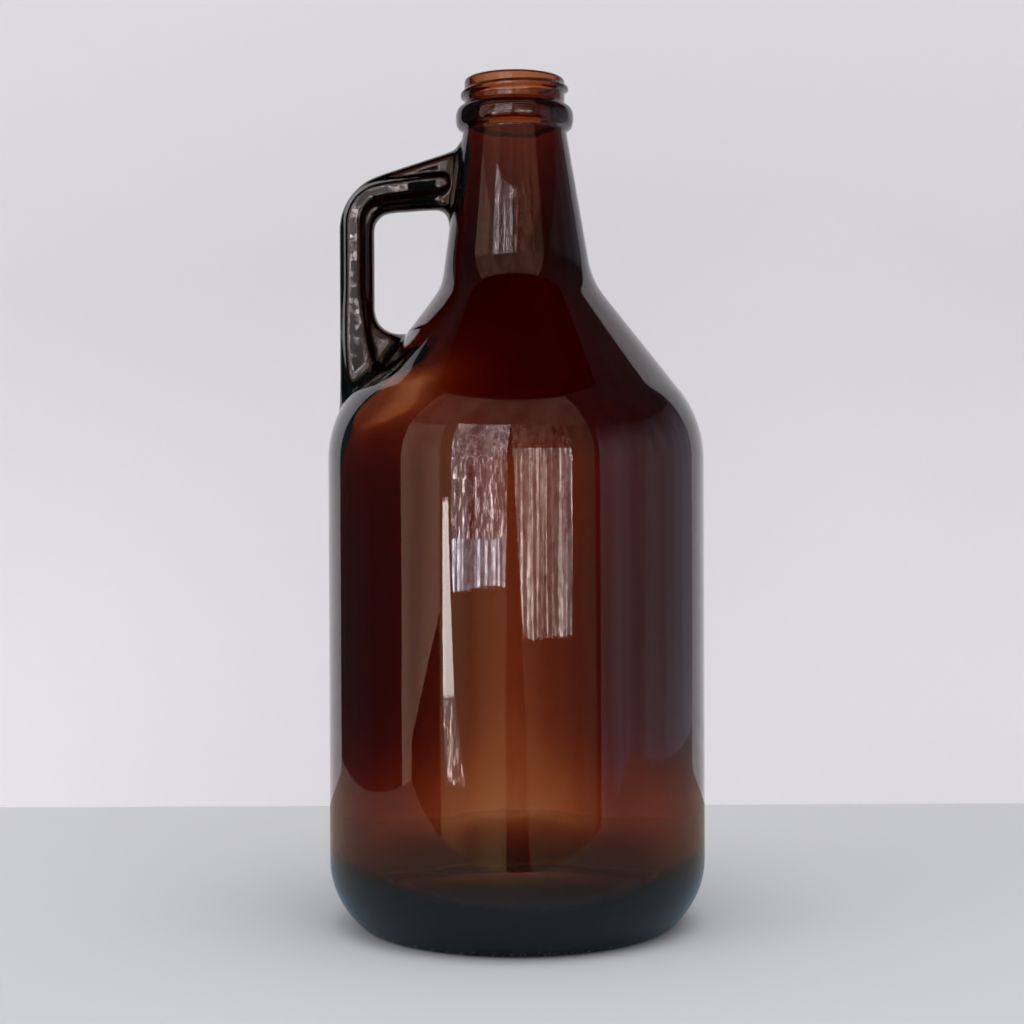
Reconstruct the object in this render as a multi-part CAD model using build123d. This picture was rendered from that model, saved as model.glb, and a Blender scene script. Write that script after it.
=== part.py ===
"""Glass growler: a round amber jug with a finger handle and a one-turn screw finish.

The jug is one piece of moulded glass. It is modelled as six zones that meet face to face:
base, body_wall, shoulder, neck, threaded_finish and handle. Millimetres, +Z up. The origin is
on the jug's axis in the plane of the bearing ring, and the handle points along -X.
"""

import os
from math import atan2, cos, degrees, radians, sin, sqrt, tan

from build123d import *

# Driving sizes of the jug. The wall is thinnest round the body and thickens up to the neck.
HEIGHT = 292.0
BODY_RADIUS = 64.9
BODY_WALL = 3.2
CONE_WALL = 5.0

# Base: the ring it stands on, the pushed-up bottom and the rounded heel
HEEL_TOP = 22.8
HEEL_RADIUS = 28.0
HEEL_CORNER_RADIUS = 1.5
RING_WIDTH = 5.0
PUSH_UP = 5.0
BOTTOM_THICKNESS = 7.0
INNER_HEEL_RADIUS = 22.0
INNER_HEEL_RISE = 17.5

# Shoulder and neck, outside and inside. Angles are from the vertical.
SHOULDER_RADIUS = 37.8
INNER_SHOULDER_RADIUS = 33.0
CONE_ANGLE = 38.2
CONE_FOOT = (26.85, 221.9)
HOLLOW_RADIUS = 27.4
INNER_HOLLOW_RADIUS = 34.0
NECK_ANGLE = 9.6
INNER_NECK_ANGLE = 6.5
NECK_TOP_RADIUS = 17.9
BORE_LENGTH = 20.0

# Screw finish: a transfer bead under a single turn of thread
FINISH_LENGTH = 18.0
FINISH_RADIUS = 17.35
BORE_RADIUS = 14.5
RIM_RADIUS = 1.3
RIM_INNER_RADIUS = 0.8
BEAD_RADIUS = 20.4
BEAD_MIDDLE = 13.6
BEAD_TOP = 9.2
THREAD_RADIUS = 18.65
THREAD_PITCH = 4.23
THREAD_TURNS = 1.0
THREAD_DEPTH_AT_SIDE = 3.6
THREAD_TOP_ANGLE = 60.0
THREAD_ROOT_WIDTH = 3.0
THREAD_CREST_WIDTH = 1.1
THREAD_SINK = 0.4

# Handle: a rounded plate with a thicker rib along it
GRIP_OUTSIDE = 60.9
ARM_SLOPE = 18.6
ARM_ROOT = (18.9, 268.3)
ARM_ROOT_TOP = (18.1, 272.4)
ARM_ROOT_RADIUS = 4.0
HANDLE_FOOT = 170.0
HANDLE_INSIDE = 12.0
BEND_RADIUS = 18.5
PLATE_THICKNESS = 9.0
PLATE_ROUNDING = 3.0
RIB_WIDTH = 8.0
RIB_THICKNESS = 15.0
RIB_GRIP_X = 55.5
RIB_ARM_HIGH = (20.0, 256.2)
RIB_ARM_CORNER = 251.6
RIB_BEND_RADIUS = 9.0

# Finger gap corners as (distance from the axis, height, corner radius), from the top left
GAP_CORNERS = [
    (48.8, 245.7, 6.5),
    (22.3, 247.4, 6.5),
    (22.3, 203.8, 0.0),
    (48.8, 203.8, 9.0),
]

# Relief that sets neck and shoulder back behind the finger gap, from its top, as above
RELIEF_CORNERS = [
    (18.5, 270.7, 0.0),
    (25.5, 220.0, 27.0),
    (47.5, 190.8, 10.0),
    (58.0, 182.7, 0.0),
    (80.0, 182.7, 0.0),
    (80.0, 270.7, 0.0),
]
RELIEF_WIDTH = 80.0
RELIEF_WALL = 3.6

HEEL_CENTRE = (BODY_RADIUS - HEEL_RADIUS, HEEL_TOP)
FINISH_BOTTOM = HEIGHT - FINISH_LENGTH


def around(centre, radius, angle):
    """The point at an angle, in degrees, on a circle."""
    turn = radians(angle)
    return (centre[0] + radius * cos(turn), centre[1] + radius * sin(turn))


def arc(centre, radius, start, end):
    """The arc of a circle from one angle to another."""
    middle = (start + end) / 2
    return ThreePointArc(
        around(centre, radius, start), around(centre, radius, middle), around(centre, radius, end)
    )


def shoulder_centre(body_radius, shoulder_radius, cone_point):
    """The centre of the shoulder's arc, tangent to the straight side and to the cone."""
    x = body_radius - shoulder_radius
    turn = radians(CONE_ANGLE)
    return (x, cone_point[1] + (cone_point[0] - shoulder_radius / cos(turn) - x) / tan(turn))


def hollow_centre(cone_point, neck_point, neck_angle, radius):
    """The centre of the hollow curve, tangent to the cone and to the neck, outside the glass."""
    cone_slope = tan(radians(CONE_ANGLE))
    neck_slope = tan(radians(neck_angle))
    cone_reach = cone_point[0] + cone_point[1] * cone_slope + radius / cos(radians(CONE_ANGLE))
    neck_reach = neck_point[0] + neck_point[1] * neck_slope + radius / cos(radians(neck_angle))
    height = (cone_reach - neck_reach) / (cone_slope - neck_slope)
    return (cone_reach - height * cone_slope, height)


def side_curves(shoulder, shoulder_radius, hollow, hollow_radius, neck_angle, neck_point):
    """Shoulder, cone, hollow and neck, from the top of the straight side up to neck_point."""
    return [
        arc(shoulder, shoulder_radius, 0, CONE_ANGLE),
        Line(
            around(shoulder, shoulder_radius, CONE_ANGLE),
            around(hollow, hollow_radius, 180 + CONE_ANGLE),
        ),
        arc(hollow, hollow_radius, 180 + CONE_ANGLE, 180 + neck_angle),
        Line(around(hollow, hollow_radius, 180 + neck_angle), neck_point),
    ]


def base_curves():
    """Pushed-up bottom, bearing ring, corner and heel, from the axis outward."""
    reach = HEEL_RADIUS - HEEL_CORNER_RADIUS
    drop = HEEL_TOP - HEEL_CORNER_RADIUS
    corner = (HEEL_CENTRE[0] + sqrt(reach**2 - drop**2), HEEL_CORNER_RADIUS)
    ring_inside = corner[0] - RING_WIDTH
    dome_radius = (ring_inside**2 + PUSH_UP**2) / (2 * PUSH_UP)
    dome_centre = (0, PUSH_UP - dome_radius)
    dome_edge = degrees(atan2(-dome_centre[1], ring_inside))
    heel_end = degrees(atan2(corner[1] - HEEL_TOP, corner[0] - HEEL_CENTRE[0]))
    return [
        arc(dome_centre, dome_radius, 90, dome_edge),
        Line((ring_inside, 0), (corner[0], 0)),
        arc(corner, HEEL_CORNER_RADIUS, -90, heel_end),
        arc(HEEL_CENTRE, HEEL_RADIUS, heel_end, 0),
    ]


def finish_curves():
    """Bead, wall and rim, from the top of the neck to the axis."""
    rim_centre = (FINISH_RADIUS - RIM_RADIUS, HEIGHT - RIM_RADIUS)
    return [
        ThreePointArc(
            (NECK_TOP_RADIUS, FINISH_BOTTOM),
            (BEAD_RADIUS, HEIGHT - BEAD_MIDDLE),
            (FINISH_RADIUS, HEIGHT - BEAD_TOP),
        ),
        Line((FINISH_RADIUS, HEIGHT - BEAD_TOP), (FINISH_RADIUS, rim_centre[1])),
        arc(rim_centre, RIM_RADIUS, 0, 90),
        Line((rim_centre[0], HEIGHT), (0, HEIGHT)),
    ]


def turned(curves):
    """The solid that a closed outline of radius and height makes about the jug's axis."""
    return revolve(Plane.XZ * make_face(curves), Axis.Z)


def rounded_face(corners):
    """A face on the handle's side of the jug, with each corner rounded to its own radius."""
    face = make_face(Polyline(*[(-x, z) for x, z, _ in corners], close=True))
    for x, z, radius in corners:
        if radius > 0:
            face = fillet(face.vertices().sort_by_distance((-x, z, 0))[0], radius)
    return face


def upright(face, thickness):
    """A plate of the given thickness, centred on the plane of the handle."""
    return extrude(Plane.XZ * face, thickness / 2, both=True)


def jug_outside():
    """The jug without its handle, filled solid, with the relief beside the finger gap."""
    neck_top = (NECK_TOP_RADIUS, FINISH_BOTTOM)
    shoulder = shoulder_centre(BODY_RADIUS, SHOULDER_RADIUS, CONE_FOOT)
    hollow = hollow_centre(CONE_FOOT, neck_top, NECK_ANGLE, HOLLOW_RADIUS)
    curves = [
        *base_curves(),
        Line((BODY_RADIUS, HEEL_TOP), (BODY_RADIUS, shoulder[1])),
        *side_curves(shoulder, SHOULDER_RADIUS, hollow, HOLLOW_RADIUS, NECK_ANGLE, neck_top),
        *finish_curves(),
        Line((0, HEIGHT), (0, PUSH_UP)),
    ]
    return turned(curves) - upright(rounded_face(RELIEF_CORNERS), RELIEF_WIDTH)


def cavity():
    """The space inside the jug, from its floor up to the mouth."""
    floor = PUSH_UP + BOTTOM_THICKNESS
    heel_centre = (BODY_RADIUS - BODY_WALL - INNER_HEEL_RADIUS, floor + INNER_HEEL_RISE)
    spare = INNER_HEEL_RADIUS - INNER_HEEL_RISE
    dome_radius = (heel_centre[0] ** 2 + INNER_HEEL_RISE**2 - INNER_HEEL_RADIUS**2) / (2 * spare)
    dome_centre = (0, floor - dome_radius)
    touch = degrees(atan2(heel_centre[1] - dome_centre[1], heel_centre[0]))
    side_radius = BODY_RADIUS - BODY_WALL
    cone_point = (CONE_FOOT[0] - CONE_WALL / cos(radians(CONE_ANGLE)), CONE_FOOT[1])
    shoulder = shoulder_centre(side_radius, INNER_SHOULDER_RADIUS, cone_point)
    bore_foot = (BORE_RADIUS, HEIGHT - BORE_LENGTH)
    hollow = hollow_centre(cone_point, bore_foot, INNER_NECK_ANGLE, INNER_HOLLOW_RADIUS)
    rim_centre = (BORE_RADIUS + RIM_INNER_RADIUS, HEIGHT - RIM_INNER_RADIUS)
    curves = [
        arc(dome_centre, dome_radius, 90, touch),
        arc(heel_centre, INNER_HEEL_RADIUS, touch - 180, 0),
        Line((side_radius, heel_centre[1]), (side_radius, shoulder[1])),
        *side_curves(
            shoulder, INNER_SHOULDER_RADIUS, hollow, INNER_HOLLOW_RADIUS, INNER_NECK_ANGLE, bore_foot
        ),
        Line(bore_foot, (BORE_RADIUS, rim_centre[1])),
        arc(rim_centre, RIM_INNER_RADIUS, 180, 90),
        Line((rim_centre[0], HEIGHT), (0, HEIGHT)),
        Line((0, HEIGHT), (0, floor)),
    ]
    relief = offset(rounded_face(RELIEF_CORNERS), RELIEF_WALL)
    return turned(curves) - upright(relief, RELIEF_WIDTH)


def thread():
    """One right-hand turn of screw thread, sunk a little into the finish."""
    rise = THREAD_PITCH * THREAD_TURNS
    top = HEIGHT - THREAD_DEPTH_AT_SIDE + THREAD_PITCH * THREAD_TOP_ANGLE / 360
    inner = FINISH_RADIUS - THREAD_SINK
    helix = Pos(0, 0, top - rise) * Rot(0, 0, THREAD_TOP_ANGLE - 360 * THREAD_TURNS) * Helix(
        THREAD_PITCH, rise, inner
    )
    start = helix @ 0
    section_plane = Plane(origin=start, x_dir=Vector(start.X, start.Y, 0), z_dir=helix % 0)
    depth = THREAD_RADIUS - inner
    section = section_plane * make_face(
        Polyline(
            (0, -THREAD_ROOT_WIDTH / 2),
            (depth, -THREAD_CREST_WIDTH / 2),
            (depth, THREAD_CREST_WIDTH / 2),
            (0, THREAD_ROOT_WIDTH / 2),
            close=True,
        )
    )
    return sweep(section, path=helix, is_frenet=True)


def handle_plate():
    """The flat of the handle, with the finger gap cut through and its edges rounded."""
    drop = (GRIP_OUTSIDE - ARM_ROOT[0]) * tan(radians(ARM_SLOPE))
    outline = rounded_face(
        [
            (HANDLE_INSIDE, ARM_ROOT_TOP[1], 0),
            (*ARM_ROOT_TOP, 0),
            (*ARM_ROOT, ARM_ROOT_RADIUS),
            (GRIP_OUTSIDE, ARM_ROOT[1] - drop, BEND_RADIUS),
            (GRIP_OUTSIDE, HANDLE_FOOT, 0),
            (HANDLE_INSIDE, HANDLE_FOOT, 0),
        ]
    )
    plate = upright(outline - rounded_face(GAP_CORNERS), PLATE_THICKNESS)
    rims = plate.faces().filter_by(Axis.Y).edges()
    return fillet(rims, PLATE_ROUNDING)


def handle_rib():
    """The thicker oval rib that runs along the middle of the handle."""
    path = FilletPolyline(
        (-RIB_ARM_HIGH[0], RIB_ARM_HIGH[1]),
        (-RIB_GRIP_X, RIB_ARM_CORNER),
        (-RIB_GRIP_X, HANDLE_FOOT),
        radius=RIB_BEND_RADIUS,
    )
    path = Plane.XZ * path
    section = Plane(origin=path @ 0, x_dir=(0, 1, 0), z_dir=path % 0) * Ellipse(
        RIB_THICKNESS / 2, RIB_WIDTH / 2
    )
    return sweep(section, path=path)


def between(solid, low, high):
    """The slice of a solid between two heights."""
    slab = Pos(0, 0, (low + high) / 2) * Box(4 * BODY_RADIUS, 4 * BODY_RADIUS, high - low)
    return solid & slab


def write(name, shape):
    """Write one zone as parts/NAME.step."""
    shape.label = name
    export_step(shape, f"parts/{name}.step")
    print(f"{name}: {len(shape.solids())} solid, {shape.volume / 1000:.1f} cm3")


def main():
    """Build the glass, cut it into zones and write them."""
    os.makedirs("parts", exist_ok=True)
    outside = jug_outside()
    inside = cavity()
    glass = outside - inside
    shoulder_start = shoulder_centre(BODY_RADIUS, SHOULDER_RADIUS, CONE_FOOT)[1]
    hollow = hollow_centre(CONE_FOOT, (NECK_TOP_RADIUS, FINISH_BOTTOM), NECK_ANGLE, HOLLOW_RADIUS)
    neck_start = around(hollow, HOLLOW_RADIUS, 180 + CONE_ANGLE)[1]
    write("base", between(glass, 0, HEEL_TOP))
    write("body_wall", between(glass, HEEL_TOP, shoulder_start))
    write("shoulder", between(glass, shoulder_start, neck_start))
    write("neck", between(glass, neck_start, FINISH_BOTTOM))
    write("threaded_finish", between(glass, FINISH_BOTTOM, HEIGHT) + (thread() - inside))
    write("handle", handle_plate() + handle_rib() - outside)
    print(f"brimful capacity: {inside.volume / 1000:.0f} ml")


if __name__ == "__main__":
    main()
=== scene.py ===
"""Amber glass growler: the jug's glass, the marks round its foot, and a pale table to show it on.

The jug is one closed skin of glass, outside and inside, with its handle grown out of the side.
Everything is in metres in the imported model's frame. Sizes in capitals are in millimetres.
"""

from math import atan2, cos, degrees, exp, pi, radians, sin, sqrt, tan

import bmesh
import bpy
import numpy as np
from mathutils import Matrix


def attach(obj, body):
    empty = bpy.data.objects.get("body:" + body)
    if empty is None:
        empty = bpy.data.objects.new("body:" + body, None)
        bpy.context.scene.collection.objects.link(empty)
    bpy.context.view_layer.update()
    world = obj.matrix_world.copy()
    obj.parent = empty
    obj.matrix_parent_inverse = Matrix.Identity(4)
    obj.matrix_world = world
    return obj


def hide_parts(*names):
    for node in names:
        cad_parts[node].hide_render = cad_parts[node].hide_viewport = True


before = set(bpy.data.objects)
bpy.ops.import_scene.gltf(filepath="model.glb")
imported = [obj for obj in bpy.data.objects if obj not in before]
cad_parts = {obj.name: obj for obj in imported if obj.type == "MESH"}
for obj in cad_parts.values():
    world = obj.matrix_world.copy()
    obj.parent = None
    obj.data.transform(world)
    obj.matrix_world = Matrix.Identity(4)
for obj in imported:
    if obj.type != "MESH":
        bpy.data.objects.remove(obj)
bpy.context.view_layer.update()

bl_info = {
    "name": "Amber glass growler",
    "version": (1, 0, 0),
    "blender": (4, 5, 0),
    "location": "View3D > Sidebar > Growler",
    "description": "Makes an amber glass growler and the table it stands on",
    "category": "Object",
}

MM = 0.001
GLASS_NODES = ("base", "body_wall", "shoulder", "neck", "threaded_finish", "handle")

# The outside of the jug: radius and height above the table
HEIGHT = 292.0
BODY_RADIUS = 64.9
HEEL_TOP = 22.8
HEEL_RADIUS = 28.0
HEEL_CORNER_RADIUS = 1.5
RING_WIDTH = 5.0
RING_LIFT = 0.25
PUSH_UP = 5.0
SHOULDER_RADIUS = 37.8
CONE_ANGLE = 38.2
CONE_FOOT = (26.85, 221.9)
HOLLOW_RADIUS = 27.4
NECK_ANGLE = 9.6
NECK_TOP = (17.9, 274.0)

# The screw finish: a bead under one turn of thread
FINISH_RADIUS = 17.35
RIM_RADIUS = 1.3
BEAD_RADIUS = 20.4
BEAD_MIDDLE = 278.4
BEAD_TOP = 282.8
THREAD_HEIGHT = 1.3
THREAD_PITCH = 4.23
THREAD_AT_SIDE = 288.4
THREAD_TOP_ANGLE = 60.0
THREAD_END_ANGLE = -300.0
THREAD_FADE_ANGLE = 16.0
THREAD_ROOT_HALF = 1.55
THREAD_CREST_HALF = 0.45

# The inside of the jug
BOTTOM_THICKNESS = 7.0
INNER_HEEL_RADIUS = 22.0
INNER_HEEL_RISE = 17.5
INNER_SHOULDER_RADIUS = 33.0
INNER_HOLLOW_RADIUS = 34.0
INNER_NECK_ANGLE = 6.5
BORE_RADIUS = 14.5
BORE_FOOT = 272.0
RIM_INNER_RADIUS = 0.8
THIN_FRONT_WIDTH = 28.0
THIN_PATCH_ANGLE = 47.0
THIN_PATCH_WIDTH = 24.0
THIN_PATCH_HEIGHT = 181.0
THIN_PATCH_RISE = 15.0
THIN_PATCH_LEAN = 0.6
THIN_HEEL = 1.7
THIN_HEEL_HEIGHT = 40.0
THIN_HEEL_RISE = 20.0
THINNEST_WALL = 1.8

# The jug's side is cut back beside the finger gap: (distance from the axis, height)
RELIEF_LINE = (
    (40.0, 290.0), (18.6, 271.5), (25.5, 220.0), (47.5, 190.8), (58.0, 182.7), (80.0, 165.7),
)
RELIEF_SPREAD = 70.0
RELIEF_WALL = 4.2

# The handle, seen from the front: outer edge and finger gap, (distance from the axis, height)
HANDLE_OUTER = (
    (18.3, 271.5), (19.4, 269.6), (21.2, 267.6), (23.8, 266.5), (30.0, 264.45), (41.0, 260.9), (47.8, 258.6),
    (51.4, 256.9), (54.6, 254.4), (57.3, 251.3), (59.3, 247.7), (60.5, 243.9), (60.9, 240.0), (60.9, 226.0),
    (60.9, 212.8), (60.9, 200.0), (60.9, 189.0), (61.0, 182.5), (61.25, 176.5),
)
HANDLE_INNER = (
    (22.7, 240.6), (23.2, 243.6), (24.6, 245.9), (27.2, 246.8), (31.0, 246.7), (37.0, 246.3), (42.3, 245.9),
    (45.0, 245.3), (47.2, 243.7), (48.5, 241.4), (48.8, 238.8), (48.8, 226.0), (48.8, 212.8), (48.1, 209.3),
    (46.2, 206.4), (43.2, 204.6), (40.4, 204.0), (38.6, 204.0), (37.6, 204.1),
)
HANDLE_MATCH = ((0, 0), (4, 4), (7, 7), (9, 8), (12, 10), (14, 12), (16, 14), (18, 18))
PLATE_HALF = 4.5
PLATE_ROUNDING = 3.4
RIB_LINE = (
    (25.6, 255.4), (30.0, 254.9), (38.0, 253.8), (45.4, 252.8), (49.4, 251.7), (52.5, 249.5), (54.6, 246.3),
    (55.5, 242.5), (55.5, 230.0), (55.5, 219.0), (54.9, 205.0), (53.6, 195.0), (51.5, 186.0), (50.0, 180.0),
)
RIB_RISE = 2.9
RIB_CREST_HALF = 1.6
RIB_FOOT_HALF = 4.4
RIB_SPREAD = 2.6
RIB_SPREAD_FROM = 219.0
RIB_SPREAD_FALL = 33.0
HANDLE_FLARE = 2.4
HANDLE_FLARE_REACH = 6.0
LOW_SLIT = (176.5, 204.1)
HIGH_SLIT = (240.6, 271.5)
SLIT_ROWS = 37
SLIT_SPREAD = 0.55
EASED_STATIONS = 14

# The camera and the backdrop
CAMERA_PLACE = (0.0, -0.6513, 0.1486)
CAMERA_LENS = 65.9
CAMERA_SENSOR = 36.0
CAMERA_PITCH = -0.010
CAMERA_YAW = 0.0022
CAMERA_ROLL = -0.004
BACKDROP_Y = 0.24
BACKDROP_SIDE = 0.34
BACKDROP_HEIGHT = 0.75
BACKDROP_SHADE_RISE = 0.32
TABLE_FRONT = -0.21
TABLE_SIDES = (-0.37, 0.48)
FLOOR_REACH = 3.0
# The table as reflections see it, darker than the table: painted shade in the jug's reflection of the table
SHINE_LIFT = 0.0002
SHINE_COOL = (0.28, 0.38, 0.45, 1.0)
SHINE_WARM = (0.33, 0.29, 0.24, 1.0)
SHINE_COOL_REACH = 0.08
SHINE_WARM_REACH = 0.19


def around(centre, radius, angle):
    """The point at an angle, in degrees, on a circle."""
    turn = radians(angle)
    return (centre[0] + radius * cos(turn), centre[1] + radius * sin(turn))


def arc(centre, radius, start, end, count):
    """Points along an arc, without its last one."""
    return [around(centre, radius, start + (end - start) * i / count) for i in range(count)]


def line(start, end, count):
    """Points along a straight line, without its last one."""
    return [
        (start[0] + (end[0] - start[0]) * i / count, start[1] + (end[1] - start[1]) * i / count)
        for i in range(count)
    ]


def shoulder_centre(body_radius, shoulder_radius, cone_point):
    """The centre of the shoulder's arc, tangent to the straight side and to the cone."""
    x = body_radius - shoulder_radius
    turn = radians(CONE_ANGLE)
    return (x, cone_point[1] + (cone_point[0] - shoulder_radius / cos(turn) - x) / tan(turn))


def hollow_centre(cone_point, neck_point, neck_angle, radius):
    """The centre of the hollow curve, tangent to the cone and to the neck, outside the glass."""
    cone_slope = tan(radians(CONE_ANGLE))
    neck_slope = tan(radians(neck_angle))
    cone_reach = cone_point[0] + cone_point[1] * cone_slope + radius / cos(radians(CONE_ANGLE))
    neck_reach = neck_point[0] + neck_point[1] * neck_slope + radius / cos(radians(neck_angle))
    height = (cone_reach - neck_reach) / (cone_slope - neck_slope)
    return (cone_reach - height * cone_slope, height)


def foot_rows():
    """The outside from the middle of the bottom to the top of the heel, as (radius, height)."""
    heel_centre = (BODY_RADIUS - HEEL_RADIUS, HEEL_TOP)
    reach = HEEL_RADIUS - HEEL_CORNER_RADIUS
    drop = HEEL_TOP - HEEL_CORNER_RADIUS
    corner = (heel_centre[0] + sqrt(reach**2 - drop**2), HEEL_CORNER_RADIUS + RING_LIFT)
    ring_inside = corner[0] - RING_WIDTH
    dome_radius = (ring_inside**2 + PUSH_UP**2) / (2 * PUSH_UP)
    dome_centre = (0, PUSH_UP - dome_radius + RING_LIFT)
    dome_edge = degrees(atan2(-(PUSH_UP - dome_radius), ring_inside))
    heel_end = degrees(atan2(HEEL_CORNER_RADIUS - HEEL_TOP, corner[0] - heel_centre[0]))
    low_heel = around(heel_centre, HEEL_RADIUS, heel_end)
    return [
        *arc(dome_centre, dome_radius, 90, dome_edge, 14)[1:],
        (ring_inside - 0.5, 0.22 + RING_LIFT),
        (ring_inside - 0.1, 0.06 + RING_LIFT),
        *line((ring_inside + 0.4, RING_LIFT), (corner[0] - 0.3, RING_LIFT), 3),
        *arc(corner, HEEL_CORNER_RADIUS, -90, heel_end, 5),
        (low_heel[0] + 0.15, low_heel[1] + 0.24),
        *arc(heel_centre, HEEL_RADIUS, heel_end + 2.2, 0, 26),
    ]


def smooth_table(points, spread):
    """(heights, radii) of an outline that rises, with its corners softened over a length."""
    table = np.array(points, dtype=float)
    heights = np.arange(table[0, 1], table[-1, 1] + 0.05, 0.1)
    radii = np.interp(heights, table[:, 1], table[:, 0])
    reach = int(3 * spread / 0.1)
    weights = np.exp(-0.5 * (np.arange(-reach, reach + 1) * 0.1 / spread) ** 2)
    weights = weights / weights.sum()
    padded = np.concatenate((
        2 * radii[0] - radii[reach:0:-1],
        radii,
        2 * radii[-1] - radii[-2:-reach - 2:-1],
    ))
    return heights, np.convolve(padded, weights, mode="valid")


def side_table(sizes):
    """The outside from the heel to the rim as a table of radius by height."""
    shoulder = shoulder_centre(BODY_RADIUS, SHOULDER_RADIUS, CONE_FOOT)
    hollow = hollow_centre(CONE_FOOT, NECK_TOP, NECK_ANGLE, HOLLOW_RADIUS)
    points = [
        (BODY_RADIUS, HEEL_TOP),
        *arc(shoulder, SHOULDER_RADIUS, 0, CONE_ANGLE, 60),
        *arc(hollow, HOLLOW_RADIUS, 180 + CONE_ANGLE, 180 + NECK_ANGLE, 60),
        around(hollow, HOLLOW_RADIUS, 180 + NECK_ANGLE),
        NECK_TOP,
    ]
    half = (BEAD_TOP - NECK_TOP[1]) / 2
    for i in range(1, 40):
        rise = -cos(pi * i / 40)
        bulge = (1 - abs(rise) ** 2.4) ** (1 / 2.0)
        foot = NECK_TOP[0] + (FINISH_RADIUS - NECK_TOP[0]) * (rise + 1) / 2
        points.append((foot + (BEAD_RADIUS - foot) * bulge, BEAD_MIDDLE + half * rise))
    points.append((FINISH_RADIUS, BEAD_TOP))
    points.append((FINISH_RADIUS, HEIGHT))
    return smooth_table(points, sizes.corner_softness / MM)


def inner_rows(sizes):
    """The inside from the rim down to the middle of the floor, as (radius, height)."""
    body_wall = sizes.body_wall / MM
    cone_wall = sizes.cone_wall / MM
    floor = PUSH_UP + BOTTOM_THICKNESS
    side_radius = BODY_RADIUS - body_wall
    heel_centre = (side_radius - INNER_HEEL_RADIUS, floor + INNER_HEEL_RISE)
    spare = INNER_HEEL_RADIUS - INNER_HEEL_RISE
    dome_radius = (heel_centre[0] ** 2 + INNER_HEEL_RISE**2 - INNER_HEEL_RADIUS**2) / (2 * spare)
    dome_centre = (0, floor - dome_radius)
    touch = degrees(atan2(heel_centre[1] - dome_centre[1], heel_centre[0]))
    cone_point = (CONE_FOOT[0] - cone_wall / cos(radians(CONE_ANGLE)), CONE_FOOT[1])
    shoulder = shoulder_centre(side_radius, INNER_SHOULDER_RADIUS, cone_point)
    bore_foot = (BORE_RADIUS, BORE_FOOT)
    hollow = hollow_centre(cone_point, bore_foot, INNER_NECK_ANGLE, INNER_HOLLOW_RADIUS)
    rim_centre = (BORE_RADIUS + RIM_INNER_RADIUS, HEIGHT - RIM_INNER_RADIUS)
    shoulder_top = around(shoulder, INNER_SHOULDER_RADIUS, CONE_ANGLE)
    hollow_low = around(hollow, INNER_HOLLOW_RADIUS, 180 + CONE_ANGLE)
    hollow_high = around(hollow, INNER_HOLLOW_RADIUS, 180 + INNER_NECK_ANGLE)
    return [
        *arc(rim_centre, RIM_INNER_RADIUS, 90, 180, 5),
        *line((BORE_RADIUS, rim_centre[1]), bore_foot, 10),
        *line(bore_foot, hollow_high, 16),
        *arc(hollow, INNER_HOLLOW_RADIUS, 180 + INNER_NECK_ANGLE, 180 + CONE_ANGLE, 12),
        *line(hollow_low, shoulder_top, 18),
        *arc(shoulder, INNER_SHOULDER_RADIUS, CONE_ANGLE, 0, 14),
        *line((side_radius, shoulder[1]), (side_radius, heel_centre[1]), 32),
        *arc(heel_centre, INNER_HEEL_RADIUS, 0, touch - 180, 18),
        *arc(dome_centre, dome_radius, touch, 90, 12),
    ]


def thread_lift(angle, height):
    """How far the thread stands out at an angle round from +X and a height."""
    lift = np.zeros_like(angle)
    for turn in (-360.0, 0.0):
        along = np.degrees(angle) + turn
        middle = THREAD_AT_SIDE + THREAD_PITCH * along / 360.0
        start = np.clip((along - THREAD_END_ANGLE) / THREAD_FADE_ANGLE, 0, 1)
        end = np.clip((THREAD_TOP_ANGLE - along) / THREAD_FADE_ANGLE, 0, 1)
        ends = np.sqrt(np.clip(1 - (1 - start) ** 2, 0, 1) * np.clip(1 - (1 - end) ** 2, 0, 1))
        across = np.abs(height - middle)
        slope = (THREAD_ROOT_HALF - across) / (THREAD_ROOT_HALF - THREAD_CREST_HALF)
        slope = np.clip(slope, 0, 1)
        lift = np.maximum(lift, THREAD_HEIGHT * ends * slope * slope * (3 - 2 * slope))
    return lift


def relief_depth(radius, height, off_handle, gap):
    """How far the side is cut back beside the finger gap, keeping a gap from the relief line."""
    edge = np.interp(height, RELIEF_TABLE[0], RELIEF_TABLE[1]) - gap
    spread = np.clip(np.degrees(np.abs(off_handle)) / RELIEF_SPREAD, 0, 1)
    return max(0.0, radius - edge) * (0.5 + 0.5 * np.cos(pi * spread))


def softened_relief():
    """The relief line as a table of distance by height."""
    points = sorted(RELIEF_LINE, key=lambda point: point[1])
    return smooth_table(points, 2.6)


RELIEF_TABLE = softened_relief()


def measured(points):
    """Points of an outline and the share of its length at which each one lies."""
    table = np.array(points, dtype=float)
    steps = np.hypot(*np.diff(table, axis=0).T)
    return table, np.concatenate(([0.0], np.cumsum(steps))) / steps.sum()


def rounded_path(points, count):
    """A smooth path of evenly counted points through some corners."""
    table, share = measured(points)
    dense = np.linspace(0, 1, count)
    return np.stack([smooth_through(share, table[:, axis], dense) for axis in (0, 1)], axis=1)


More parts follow.
